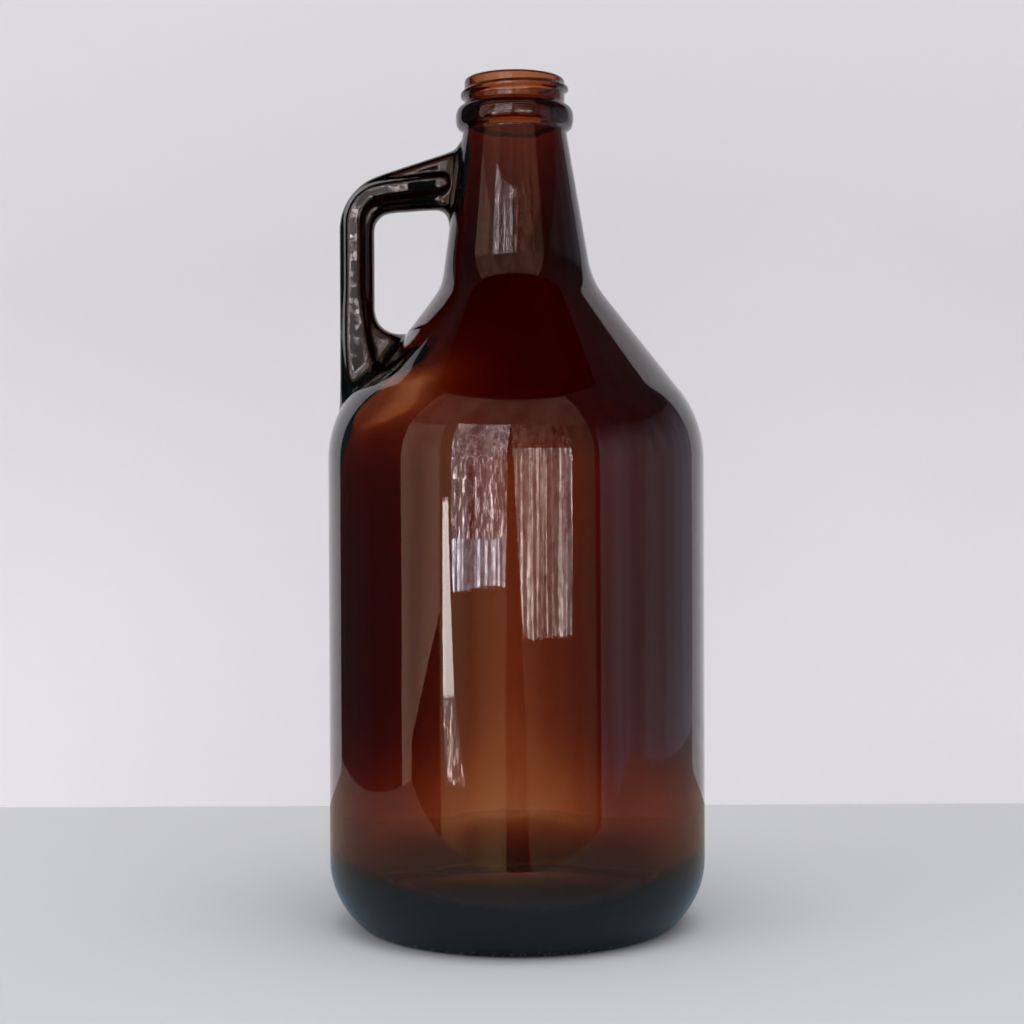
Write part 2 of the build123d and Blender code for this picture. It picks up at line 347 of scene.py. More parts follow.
def smooth_through(places, values, wanted):
    """Values between known ones, by a cubic that doesn't overshoot."""
    steps = np.diff(places)
    slopes = np.diff(values) / steps
    tangents = np.zeros(len(values))
    same = slopes[1:] * slopes[:-1] > 0
    weights = (steps[1:] + steps[:-1])[same]
    left = slopes[:-1][same]
    right = slopes[1:][same]
    near = (2 * steps[1:] + steps[:-1])[same]
    far = (steps[1:] + 2 * steps[:-1])[same]
    tangents[1:-1][same] = 3 * weights / (near / left + far / right)
    tangents[0] = slopes[0]
    tangents[-1] = slopes[-1]
    cell = np.clip(np.searchsorted(places, wanted, side="right") - 1, 0, len(steps) - 1)
    t = (wanted - places[cell]) / steps[cell]
    step = steps[cell]
    return (
        values[cell] * (1 + 2 * t) * (1 - t) ** 2
        + tangents[cell] * step * t * (1 - t) ** 2
        + values[cell + 1] * t * t * (3 - 2 * t)
        - tangents[cell + 1] * step * t * t * (1 - t)
    )


def distance_to(path, points):
    """The distance from each point to the nearest part of a path."""
    starts = path[:-1]
    runs = path[1:] - starts
    offsets = points[:, None, :] - starts[None, :, :]
    along = np.clip((offsets * runs).sum(2) / (runs * runs).sum(1), 0, 1)
    nearest = offsets - along[:, :, None] * runs
    return np.sqrt((nearest * nearest).sum(2)).min(1)


def faded(value, low, high):
    """1 below low, 0 above high, and smooth between."""
    t = np.clip((high - value) / (high - low), 0, 1)
    return t * t * t * (t * (6 * t - 15) + 10)


def slit_heights(low, high):
    """The heights of the rows where the handle grows out, close together at both ends."""
    turn = np.linspace(0, pi, SLIT_ROWS)
    return low + (high - low) * (1 - np.cos(turn)) / 2


def side_point(side, height, off_handle):
    """Radius of the jug's side at a height and at an angle round from the handle."""
    radius = float(np.interp(height, side[0], side[1]))
    return radius - relief_depth(radius, height, off_handle, 0.0)


class HandleShape:
    """The handle's edges and how thick it is, worked out once."""

    def __init__(self, side, sizes):
        """Samples the edges and the rib, and keeps the jug's side."""
        outer = rounded_path(HANDLE_OUTER, 400)
        inner = rounded_path(HANDLE_INNER, 400)
        self.outer_edge = outer
        self.inner_edge = inner
        self.rib = rounded_path(RIB_LINE, 200)
        self.plate = PLATE_HALF
        self.rise = sizes.rib_rise / MM
        self.side = side

    def half_thickness(self, points):
        """Half the handle's thickness at points in its middle plane."""
        edge = np.minimum(distance_to(self.outer_edge, points), distance_to(self.inner_edge, points))
        round_off = np.clip(1 - edge / PLATE_ROUNDING, 0, 1)
        rounding = np.sqrt(np.clip(1 - round_off**2.2, 0, 1))
        low = np.clip((RIB_SPREAD_FROM - points[:, 1]) / RIB_SPREAD_FALL, 0, 1)
        land = distance_to(self.rib, points) - RIB_SPREAD * low
        rib = self.rise * faded(land, RIB_CREST_HALF, RIB_FOOT_HALF)
        body = np.array([side_point(self.side, height, 0.0) for height in points[:, 1]])
        near = np.clip(1 - (points[:, 0] - body) / HANDLE_FLARE_REACH, 0, 1)
        flare = HANDLE_FLARE * near**2.2 * np.clip(edge / 5.0, 0, 1) ** 0.5
        return (self.plate + rib + flare) * rounding


def handle_stations(shape):
    """Matching points along the handle's outer edge and its finger gap."""
    outer_table, outer_share = measured(HANDLE_OUTER)
    inner_table, inner_share = measured(HANDLE_INNER)
    outer_marks = [outer_share[pair[0]] for pair in HANDLE_MATCH]
    inner_marks = [inner_share[pair[1]] for pair in HANDLE_MATCH]
    count = 118
    marks = np.linspace(0, 1, len(HANDLE_MATCH))
    lengths = np.array([0.0, *np.diff(outer_marks)]).cumsum()
    lengths = lengths / lengths[-1]
    along = np.linspace(0, 1, count)
    place = smooth_through(lengths, marks, along)
    outer_at = smooth_through(marks, np.array(outer_marks), place)
    inner_at = smooth_through(marks, np.array(inner_marks), place)
    outer = np.stack(
        [smooth_through(outer_share, outer_table[:, axis], outer_at) for axis in (0, 1)], axis=1
    )
    inner = np.stack(
        [smooth_through(inner_share, inner_table[:, axis], inner_at) for axis in (0, 1)], axis=1
    )
    return outer, inner


def handle_grid(shape, side):
    """Points and half thicknesses across and along the handle: [station][row]."""
    outer, inner = handle_stations(shape)
    turn = np.linspace(0, pi, SLIT_ROWS)
    across = ((1 - np.cos(turn)) / 2)[None, :, None]
    grid = outer[:, None, :] + (inner - outer)[:, None, :] * across
    count = len(outer)
    high_row = slit_heights(*HIGH_SLIT)[::-1]
    low_row = slit_heights(*LOW_SLIT)
    high_line = np.array([(side_point(side, z, 0.0), z) for z in high_row])
    low_line = np.array([(side_point(side, z, 0.0), z) for z in low_row])
    high_shift = high_line - grid[0]
    low_shift = low_line - grid[-1]
    for i in range(EASED_STATIONS):
        ease = (1 - i / EASED_STATIONS) ** 2
        grid[i] += high_shift * ease
        grid[count - 1 - i] += low_shift * ease
    return grid


def side_heights():
    """Heights of the jug's rows from the heel's top to the rim, with those beside the handle."""
    heights = [
        *np.linspace(HEEL_TOP, 156.0, 46)[:-1],
        *np.linspace(156.0, LOW_SLIT[0], 14)[:-1],
        *slit_heights(*LOW_SLIT)[:-1],
        *np.linspace(LOW_SLIT[1], HIGH_SLIT[0], 26)[:-1],
        *slit_heights(*HIGH_SLIT)[:-1],
        *np.linspace(HIGH_SLIT[1], NECK_TOP[1] - 0.6, 7)[:-1],
        *np.linspace(NECK_TOP[1] - 0.6, BEAD_TOP + 0.6, 40)[:-1],
        *np.linspace(BEAD_TOP + 0.6, HEIGHT - RIM_RADIUS, 38)[:-1],
    ]
    return np.array(heights)


def wall_thickening(angle, height, sizes):
    """How much thicker the wall is at the mould's closing lines, less the thin patch and foot."""
    off_front = np.degrees(np.abs(np.abs(angle) - pi / 2))
    sides = (1 - 1.35 * np.exp(-((off_front / THIN_FRONT_WIDTH) ** 2))) * sizes.side_gain / MM
    body = float(faded(height, 150.0, 205.0)) * float(1 - faded(height, 14.0, 40.0))
    middle = THIN_PATCH_ANGLE + THIN_PATCH_LEAN * (height - THIN_PATCH_HEIGHT)
    across = (np.degrees(np.abs(angle)) - middle) / THIN_PATCH_WIDTH
    up = (height - THIN_PATCH_HEIGHT) / THIN_PATCH_RISE
    low = (height - THIN_HEEL_HEIGHT) / THIN_HEEL_RISE
    heel = THIN_HEEL * exp(-(low**2))
    return sides * body - heel - sizes.thin_patch / MM * np.exp(-(across**2) - up**2)


def wall_waves(angle, height, depth):
    """The slow unevenness of a blown inside wall."""
    up = height / 100.0
    waves = (
        0.34 * np.sin(2 * angle + 1.1 + 1.3 * np.sin(1.7 * up))
        + 0.30 * np.sin(3 * angle - 0.6 + 0.9 * up)
        + 0.22 * np.sin(5 * angle + 2.0 - 1.1 * up)
        + 0.16 * np.sin(8 * angle + 0.4 + 1.6 * up)
        + 0.12 * np.sin(13 * angle + 2.6 - 0.8 * up)
        + 0.30 * np.sin(4.1 * up + 0.7 + 0.8 * np.sin(angle))
    )
    return depth * waves


def glass_mesh(name, sizes):
    """One closed mesh of the jug's glass, with the handle grown out of slits in its side."""
    side = side_table(sizes)
    shape = HandleShape(side, sizes)
    grid = handle_grid(shape, side)
    stations, rows = grid.shape[:2]
    half = shape.half_thickness(grid.reshape(-1, 2)).reshape(stations, rows)
    half[:, 0] = 0.0
    half[:, -1] = 0.0
    columns = sizes.columns
    turns = np.arange(columns) * 2 * pi / columns
    off_handle = (turns + pi) % (2 * pi) - pi

    outline = [(radius, height, "foot", 0.0) for radius, height in foot_rows()]
    for height in side_heights():
        width = 0.0
        if LOW_SLIT[0] < height < LOW_SLIT[1]:
            width = float(np.interp(height, slit_heights(*LOW_SLIT), half[-1]))
        if HIGH_SLIT[0] < height < HIGH_SLIT[1]:
            width = float(np.interp(height, slit_heights(*HIGH_SLIT), half[0][::-1]))
        outline.append((float(np.interp(height, side[0], side[1])), height, "side", width))
    rim_centre = (FINISH_RADIUS - RIM_RADIUS, HEIGHT - RIM_RADIUS)
    for radius, height in arc(rim_centre, RIM_RADIUS, 0, 90, 9):
        outline.append((radius, height, "side", 0.0))
    for radius, height in inner_rows(sizes):
        outline.append((radius, height, "inside", 0.0))

    made = bmesh.new()
    places = []
    front_slits = {}
    back_slits = {}
    for radius, height, zone, width in outline:
        angles = off_handle.copy()
        radii = np.full(columns, radius)
        if zone == "side":
            radii = radii - relief_depth(radius, height, angles, 0.0)
            if width > 0:
                opening = np.arcsin(min(0.9, width / side_point(side, height, 0.0)))
                bend = opening * np.exp(-((angles / SLIT_SPREAD) ** 2))
                angles = angles + np.where(angles >= 0, bend, -bend)
            if height > BEAD_TOP - 1.0:
                around_x = (angles + pi + pi) % (2 * pi) - pi
                radii = radii + thread_lift(around_x, height)
        if zone == "inside" and height > PUSH_UP + BOTTOM_THICKNESS + 0.5:
            depth = relief_depth(radius, height, angles, RELIEF_WALL)
            calm = float(faded(height, 262.0, 272.0)) * float(1 - faded(height, 12.5, 26.0))
            radii = radii - depth + wall_waves(angles, height, sizes.waves / MM) * calm
            radii = radii - wall_thickening(angles, height, sizes)
            if HEEL_TOP < height < HIGH_SLIT[0]:
                outside = float(np.interp(height, side[0], side[1]))
                outside = outside - relief_depth(outside, height, angles, 0.0)
                radii = np.minimum(radii, outside - THINNEST_WALL)
        # Off the handle is measured round from -X, towards -Y in front
        x = -radii * np.cos(angles)
        y = -radii * np.sin(angles)
        row = [made.verts.new((x[i] * MM, y[i] * MM, height * MM)) for i in range(columns)]
        places.append(row)
        if width > 0:
            first = angles[0]
            back = made.verts.new((x[0] * MM, radii[0] * sin(first) * MM, height * MM))
            front_slits[round(height, 4)] = row[0]
            back_slits[round(height, 4)] = back
        elif zone == "side":
            front_slits[round(height, 4)] = row[0]
            back_slits[round(height, 4)] = row[0]

    def quad(points):
        """A face from points, without repeats."""
        kept = []
        for point in points:
            if point not in kept:
                kept.append(point)
        if len(kept) > 2:
            made.faces.new(kept)

    def start_of(row, outline_row):
        """The vertex that the last column closes onto."""
        if outline_row[3] > 0:
            return back_slits[round(outline_row[1], 4)]
        return row[0]

    for i in range(len(places) - 1):
        low, high = places[i], places[i + 1]
        for j in range(columns - 1):
            quad((low[j], low[j + 1], high[j + 1], high[j]))
        low_end = start_of(low, outline[i])
        high_end = start_of(high, outline[i + 1])
        quad((low[-1], low_end, high_end, high[-1]))
    bottom = made.verts.new((0, 0, (PUSH_UP + RING_LIFT) * MM))
    floor = made.verts.new((0, 0, (PUSH_UP + BOTTOM_THICKNESS) * MM))
    for j in range(columns):
        k = (j + 1) % columns
        quad((bottom, places[0][k], places[0][j]))
        quad((floor, places[-1][j], places[-1][k]))

    fronts = []
    backs = []
    for i in range(stations):
        front = []
        back = []
        for j in range(rows):
            x, z = grid[i][j]
            y = half[i][j]
            if i in (0, stations - 1):
                key = round(z, 4)
                front.append(front_slits[key])
                back.append(back_slits[key])
                continue
            if j in (0, rows - 1):
                edge = made.verts.new((-x * MM, 0, z * MM))
                front.append(edge)
                back.append(edge)
                continue
            front.append(made.verts.new((-x * MM, -y * MM, z * MM)))
            back.append(made.verts.new((-x * MM, y * MM, z * MM)))
        fronts.append(front)
        backs.append(back)
    for i in range(stations - 1):
        for j in range(rows - 1):
            quad((fronts[i][j], fronts[i + 1][j], fronts[i + 1][j + 1], fronts[i][j + 1]))
            quad((backs[i][j], backs[i][j + 1], backs[i + 1][j + 1], backs[i + 1][j]))
    bmesh.ops.recalc_face_normals(made, faces=made.faces)
    mesh = bpy.data.meshes.new(name)
    made.to_mesh(mesh)
    made.free()
    mesh.shade_smooth()
    return mesh


class Value:
    """A socket that can be used in sums, so that shader maths reads as maths."""

    def __init__(self, nodes, socket):
        """Wraps a node's output, or a plain number."""
        self.nodes = nodes
        self.socket = socket

    def sum(self, operation, first, second=None, third=None):
        """A Math node of these values."""
        inputs = {0: first}
        if second is not None:
            inputs[1] = second
        if third is not None:
            inputs[2] = third
        return self.nodes.add("ShaderNodeMath", {"operation": operation}, inputs)

    def __add__(self, other):
        return self.sum("ADD", self, other)

    def __radd__(self, other):
        return self.sum("ADD", other, self)

    def __sub__(self, other):
        return self.sum("SUBTRACT", self, other)

    def __rsub__(self, other):
        return self.sum("SUBTRACT", other, self)

    def __mul__(self, other):
        return self.sum("MULTIPLY", self, other)

    def __rmul__(self, other):
        return self.sum("MULTIPLY", other, self)

    def absolute(self):
        """The value without its sign."""
        return self.sum("ABSOLUTE", self)


class Nodes:
    """A material's or the world's nodes."""

    def __init__(self, tree):
        """Empties the tree."""
        self.tree = tree
        tree.nodes.clear()

    def add(self, kind, settings, inputs, output=0):
        """A node of a type, with its settings and then the values or links of its sockets."""
        node = self.tree.nodes.new(kind)
        for name, value in settings.items():
            setattr(node, name, value)
        for name, value in inputs.items():
            socket = node.inputs[name]
            if isinstance(value, Value):
                self.tree.links.new(value.socket, socket)
            else:
                socket.default_value = value
        return Value(self, node.outputs[output]) if node.outputs else node

    def noise(self, place, scale, detail, rough, output="Fac"):
        """Noise over the surface."""
        inputs = {"Vector": place, "Scale": scale, "Detail": detail, "Roughness": rough}
        return self.add("ShaderNodeTexNoise", {}, inputs, output)

    def ranged(self, value, low, high, start=0.0, end=1.0):
        """A value stretched from one range to another and held there."""
        settings = {"interpolation_type": "SMOOTHSTEP"}
        inputs = {"Value": value, "From Min": low, "From Max": high, "To Min": start, "To Max": end}
        return self.add("ShaderNodeMapRange", settings, inputs)

    def stretched(self, place, scale):
        """A place with each axis scaled."""
        return self.add("ShaderNodeMapping", {}, {"Vector": place, "Scale": scale})


def amber_glass(look):
    """Amber bottle glass: clear and glossy, rippled and smudged, with an added dark tint in the handle: part
    deeper glass for its thickness, part painted shade that dims the handle's reflections.
    """
    material = bpy.data.materials.new("amber_glass")
    material.use_nodes = True
    nodes = Nodes(material.node_tree)
    place = nodes.add("ShaderNodeTexCoord", {}, {}, "Object")
    depth = nodes.add("ShaderNodeSeparateXYZ", {}, {"Vector": place}, "Y")
    height = nodes.add("ShaderNodeSeparateXYZ", {}, {"Vector": place}, "Z")
    up = nodes.stretched(place, (1.0, 1.0, 0.35))
    ripple = nodes.noise(up, 26.0, 2.0, 0.45)
    peel = nodes.noise(place, 240.0, 3.0, 0.5)
    grain = nodes.noise(place, 1500.0, 2.0, 0.5)
    seam = nodes.ranged(depth.absolute(), 0.0, 0.00045, 1.0, 0.0)
    seam = seam * nodes.ranged(height, 0.004, 0.012)
    relief = ripple * 0.6 + peel * 0.016 + grain * 0.0012
    bump = nodes.add(
        "ShaderNodeBump",
        {},
        {"Strength": look.ripple, "Distance": 0.0011, "Height": relief + seam * 0.16},
    )
    smudge = nodes.ranged(nodes.noise(place, 34.0, 5.0, 0.62), 0.52, 0.74)
    wiped = nodes.ranged(nodes.noise(nodes.stretched(place, (1.0, 1.0, 0.12)), 190.0, 3.0, 0.6), 0.55, 0.8)
    worn = nodes.ranged(height, 0.0, 0.006, 1.0, 0.0)
    scuff = nodes.ranged(nodes.noise(place, 900.0, 4.0, 0.7), 0.5, 0.62) * worn
    roughness = 0.004 + smudge * 0.035 + wiped * 0.02 + scuff * 0.35
    # The handle stands out past two straight lines that follow the jug's side
    across = nodes.add("ShaderNodeSeparateXYZ", {}, {"Vector": place}, "X")
    neck_side = 0.055 - height * 0.134
    cone_side = 0.2001 - height * 0.8
    reach = nodes.ranged(across * -1.0 - neck_side, -0.001, 0.003)
    reach = reach * nodes.ranged(across * -1.0 - cone_side, -0.001, 0.003)
    handle = reach * nodes.ranged(depth.absolute(), 0.0085, 0.0105, 1.0, 0.0)
    # Painted shade in part: the handle's colour darkens the light through it beyond what its thickness takes
    # up, and dims its reflections
    handle_thickness_and_shade_colour = nodes.add(
        "ShaderNodeMix",
        {"data_type": "RGBA"},
        {"Factor": handle, 6: (1.0, 1.0, 1.0, 1.0), 7: (*look.handle_thickness_and_shade_tint, 1.0)},
        2,
    )
    glass = nodes.add(
        "ShaderNodeBsdfPrincipled",
        {"distribution": "MULTI_GGX"},
        {
            "Base Color": handle_thickness_and_shade_colour,
            "Roughness": roughness,
            "IOR": 1.52,
            "Transmission Weight": 1.0,
            "Normal": bump,
        },
    )
    tint = nodes.add(
        "ShaderNodeVolumeAbsorption",
        {},
        {"Color": (*look.tint, 1.0), "Density": look.density},
    )
    nodes.add("ShaderNodeOutputMaterial", {}, {"Surface": glass, "Volume": tint})
    return material


def plain_paint(name, colour, rough, fleck, rise=0.0, seen_from_behind=True):
    """A pale matt surface, with a faint slow unevenness, that can darken upwards by a rise: a painted shade
    for light that falls off with height.
    """
    material = bpy.data.materials.new(name)
    material.use_nodes = True
    nodes = Nodes(material.node_tree)
    place = nodes.add("ShaderNodeTexCoord", {}, {}, "Object")
    cloud = nodes.ranged(nodes.noise(place, 3.2, 2.0, 0.5), 0.3, 0.7)
    fine = nodes.noise(place, 420.0, 3.0, 0.6)
    up = nodes.add("ShaderNodeSeparateXYZ", {}, {"Vector": place}, "Z")
    # Painted shade: the rise darkens the paint upwards, as the light on the backdrop falls off towards its
    # top
    share = 0.72 + cloud * 0.2 + fine * 0.08 - nodes.ranged(up, 0.0, BACKDROP_SHADE_RISE) * rise
    deeper = tuple(channel * (1 - fleck) for channel in colour)
    tone = nodes.add(
        "ShaderNodeMix",
        {"data_type": "RGBA"},
        {"Factor": share, 6: (*deeper, 1.0), 7: (*colour, 1.0)},
        2,
    )
    paint = nodes.add(
        "ShaderNodeBsdfPrincipled",
        {},
        {"Base Color": tone, "Roughness": rough, "Specular IOR Level": 0.2},
    )
    if not seen_from_behind:
        behind = nodes.add("ShaderNodeNewGeometry", {}, {}, "Backfacing")
        clear = nodes.add("ShaderNodeBsdfTransparent", {}, {})
        paint = nodes.add("ShaderNodeMixShader", {}, {0: behind, 1: paint, 2: clear})
    nodes.add("ShaderNodeOutputMaterial", {}, {"Surface": paint})
    return material


def table_shade():
    """A paint for a second table surface that only reflections see.

    It isn't the visible table's colour: it is a darker painted shade of the table as the jug reflects it,
    cool close to the jug and warmer further out.
    """
    material = bpy.data.materials.new("table_shade")
    material.use_nodes = True
    nodes = Nodes(material.node_tree)
    place = nodes.add("ShaderNodeTexCoord", {}, {}, "Object")
    far = nodes.add("ShaderNodeVectorMath", {"operation": "LENGTH"}, {0: place}, "Value")
    tone = nodes.add(
        "ShaderNodeMix",
        {"data_type": "RGBA"},
        {
            "Factor": nodes.ranged(far, SHINE_COOL_REACH, SHINE_WARM_REACH),
            6: SHINE_COOL,
            7: SHINE_WARM,
        },
        2,
    )
    paint = nodes.add("ShaderNodeBsdfPrincipled", {}, {"Base Color": tone, "Roughness": 0.8})
    nodes.add("ShaderNodeOutputMaterial", {}, {"Surface": paint})
    return material


def glow(name, colour, strength, pattern="plain"):
    """A light panel's glow: plain, fading upwards, in upright pleats, or through lace."""
    material = bpy.data.materials.new(name)
    material.use_nodes = True
    nodes = Nodes(material.node_tree)
    place = nodes.add("ShaderNodeTexCoord", {}, {}, "Object")
    slow = nodes.noise(nodes.stretched(place, (1.0, 1.0, 0.4)), 2.6, 2.0, 0.5)
    power = nodes.ranged(slow, 0.3, 0.7, 0.7, 1.3) * strength
    if pattern == "fading":
        up = nodes.add("ShaderNodeSeparateXYZ", {}, {"Vector": place}, "Z")
        power = power * nodes.ranged(up, 0.35, 0.9, 1.0, 0.3)
    if pattern == "pleats":
        folds = nodes.noise(nodes.stretched(place, (1.0, 1.0, 0.10)), 21.0, 3.0, 0.6)
        weave = nodes.noise(nodes.stretched(place, (1.0, 1.0, 4.0)), 22.0, 3.0, 0.7)
        power = power * (0.28 + nodes.ranged(folds, 0.46, 0.60) * 1.25)
        power = power * nodes.ranged(weave, 0.40, 0.62, 0.6, 1.5)
    if pattern == "lace":
        folds = nodes.noise(nodes.stretched(place, (1.0, 1.0, 0.22)), 13.0, 3.0, 0.6)
        specks = nodes.noise(nodes.stretched(place, (1.0, 1.0, 1.6)), 40.0, 3.0, 0.7)
        power = power * nodes.ranged(folds, 0.36, 0.62, 0.4, 1.5)
        power = power * (0.40 + nodes.ranged(specks, 0.53, 0.64) * 3.6)
    light = nodes.add("ShaderNodeEmission", {}, {"Color": (*colour, 1.0), "Strength": power})
    behind = nodes.add("ShaderNodeNewGeometry", {}, {}, "Backfacing")
    clear = nodes.add("ShaderNodeBsdfTransparent", {}, {})
    light = nodes.add("ShaderNodeMixShader", {}, {0: behind, 1: light, 2: clear})
    nodes.add("ShaderNodeOutputMaterial", {}, {"Surface": light})
    return material


def stipple_marks(name, sizes, material):
    """Small domes repeated round the ring that the jug stands on."""
    tree = bpy.data.node_groups.new("ring_stipple", "GeometryNodeTree")
    sockets = {}
    for label, kind, value in (
        ("Marks", "NodeSocketInt", sizes.marks),
        ("Ring radius", "NodeSocketFloat", sizes.ring_radius),
        ("Mark radius", "NodeSocketFloat", sizes.mark_radius),
        ("Seed", "NodeSocketInt", 7),
    ):
        socket = tree.interface.new_socket(label, in_out="INPUT", socket_type=kind)
        sockets[label] = (socket.identifier, value)
    tree.interface.new_socket("Geometry", in_out="OUTPUT", socket_type="NodeSocketGeometry")
    nodes = Nodes(tree)
    start = tree.nodes.new("NodeGroupInput")
    given = {output.name: Value(nodes, output) for output in start.outputs if output.name}
    ring = nodes.add(
        "GeometryNodeMeshCircle", {}, {"Vertices": given["Marks"], "Radius": given["Ring radius"]}
    )
    mark = nodes.add(
        "GeometryNodeMeshUVSphere",
        {},
        {"Segments": 8, "Rings": 5, "Radius": given["Mark radius"]},
    )
    size = nodes.add(
        "FunctionNodeRandomValue",
        {"data_type": "FLOAT"},
        {2: 0.8, 3: 1.0, "Seed": given["Seed"]},
        1,
    )
    placed = nodes.add(
        "GeometryNodeInstanceOnPoints", {}, {"Points": ring, "Instance": mark, "Scale": size}
    )
    lifted_up = nodes.add("ShaderNodeCombineXYZ", {}, {"Z": given["Mark radius"]})
    placed = nodes.add(
        "GeometryNodeTranslateInstances", {}, {"Instances": placed, "Translation": lifted_up}
    )
    real = nodes.add("GeometryNodeRealizeInstances", {}, {"Geometry": placed})
    done = nodes.add("GeometryNodeSetMaterial", {}, {"Geometry": real, "Material": material})
    nodes.add("NodeGroupOutput", {}, {"Geometry": done})
    holder = bpy.data.objects.new(name + "_maker", bpy.data.meshes.new(name + "_maker"))
    bpy.context.scene.collection.objects.link(holder)
    modifier = holder.modifiers.new("stipple", "NODES")
    modifier.node_group = tree
    for identifier, value in sockets.values():
        modifier[identifier] = value
    bpy.context.view_layer.update()
    evaluated = holder.evaluated_get(bpy.context.evaluated_depsgraph_get())
    mesh = bpy.data.meshes.new_from_object(evaluated)
    mesh.name = name
    bpy.data.objects.remove(holder)
    mesh.shade_smooth()
    return mesh


def placed_piece(name, mesh, material):
    """An object at the origin with one material."""
    piece = bpy.data.objects.new(name, mesh)
    mesh.materials.clear()
    mesh.materials.append(material)
    bpy.context.scene.collection.objects.link(piece)
    return piece


def card(name, corners, material):
    """A flat four-cornered stage card, facing the side from which its corners turn to the left."""
    mesh = bpy.data.meshes.new(name)
    mesh.from_pydata(corners, [], [tuple(range(len(corners)))])
    return placed_piece(name, mesh, material)


def only_reflected(piece):
    """Keeps a light panel out of sight except in reflections."""
    piece.visible_camera = False
    piece.visible_diffuse = False
    piece.visible_transmission = False
    piece.visible_volume_scatter = False
    piece.visible_shadow = False


class GlassSizes(bpy.types.PropertyGroup):
    """Sizes of the jug's glass that can be changed."""

    body_wall: bpy.props.FloatProperty(
        name="Body wall", description="Thickness of the glass round the body",
        default=0.0032, unit="LENGTH",
    )
    cone_wall: bpy.props.FloatProperty(
        name="Cone wall", description="Thickness of the glass above the shoulder",
        default=0.005, unit="LENGTH",
    )
    waves: bpy.props.FloatProperty(
        name="Waves", description="Unevenness of the inside wall",
        default=0.00055, unit="LENGTH",
    )
    side_gain: bpy.props.FloatProperty(
        name="Side gain", description="Extra wall at the sides, part of it taken from front and back",
        default=0.0015, unit="LENGTH",
    )
    thin_patch: bpy.props.FloatProperty(
        name="Thin patch", description="How much thinner the shoulder is beside the handle",
        default=0.0056, unit="LENGTH",
    )
    rib_rise: bpy.props.FloatProperty(
        name="Rib rise", description="How far the handle's rib stands out on each side",
        default=RIB_RISE * MM, unit="LENGTH",
    )
    corner_softness: bpy.props.FloatProperty(
        name="Corner softness", description="Length over which the outline's corners are rounded",
        default=0.0003, unit="LENGTH",
    )
    columns: bpy.props.IntProperty(
        name="Columns", description="Number of faces round the jug", default=176,
    )


class GlassLook(bpy.types.PropertyGroup):
    """Colour and surface of the glass."""

    tint: bpy.props.FloatVectorProperty(
        name="Tint", description="Colour that the glass lets through",
        default=(0.68, 0.32, 0.0), size=3, subtype="COLOR",
    )
    density: bpy.props.FloatProperty(
        name="Density", description="How strongly a metre of glass takes up light", default=1000.0,
    )
    # Painted shade in part: this tint darkens the handle's glass beyond its thickness and dims the handle's
    # reflections
    handle_thickness_and_shade_tint: bpy.props.FloatVectorProperty(
        name="Handle tint", description="Added darkening of the handle, beyond what its thickness gives",
        default=(0.14, 0.16, 0.16), size=3, subtype="COLOR",
    )
    ripple: bpy.props.FloatProperty(
        name="Ripple", description="Strength of the surface's ripple",
        default=0.35, subtype="FACTOR",
    )


class RingSizes(bpy.types.PropertyGroup):
    """Sizes of the marks round the ring that the jug stands on."""

    marks: bpy.props.IntProperty(name="Marks", description="How many marks there are", default=120)
    ring_radius: bpy.props.FloatProperty(
        name="Ring radius", description="Distance of the marks from the jug's axis",
        default=0.0504, unit="LENGTH",
    )
    mark_radius: bpy.props.FloatProperty(
        name="Mark radius", description="Radius of one mark", default=0.00055, unit="LENGTH",
    )


class GROWLER_OT_glass_jug(bpy.types.Operator):
    """Make the jug's glass, from the foot to the screw finish, with its handle"""

    bl_idname = "growler.glass_jug"
    bl_label = "Glass jug"

    def execute(self, context):
        """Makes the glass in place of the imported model's six zones."""
        material = amber_glass(context.scene.growler_look)
        mesh = glass_mesh("glass_jug", context.scene.growler_glass)
        piece = placed_piece("glass_jug", mesh, material)
        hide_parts(*GLASS_NODES)
        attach(piece, "root")
        return {"FINISHED"}


class GROWLER_OT_ring_stipple(bpy.types.Operator):
    """Make the row of marks that the jug stands on"""

    bl_idname = "growler.ring_stipple"
    bl_label = "Ring stipple"

    def execute(self, context):
        """Repeats one mark round the bearing ring."""
        material = bpy.data.materials["amber_glass"]
        mesh = stipple_marks("ring_stipple", context.scene.growler_ring, material)
        piece = placed_piece("ring_stipple", mesh, material)
        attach(piece, "root")
        return {"FINISHED"}


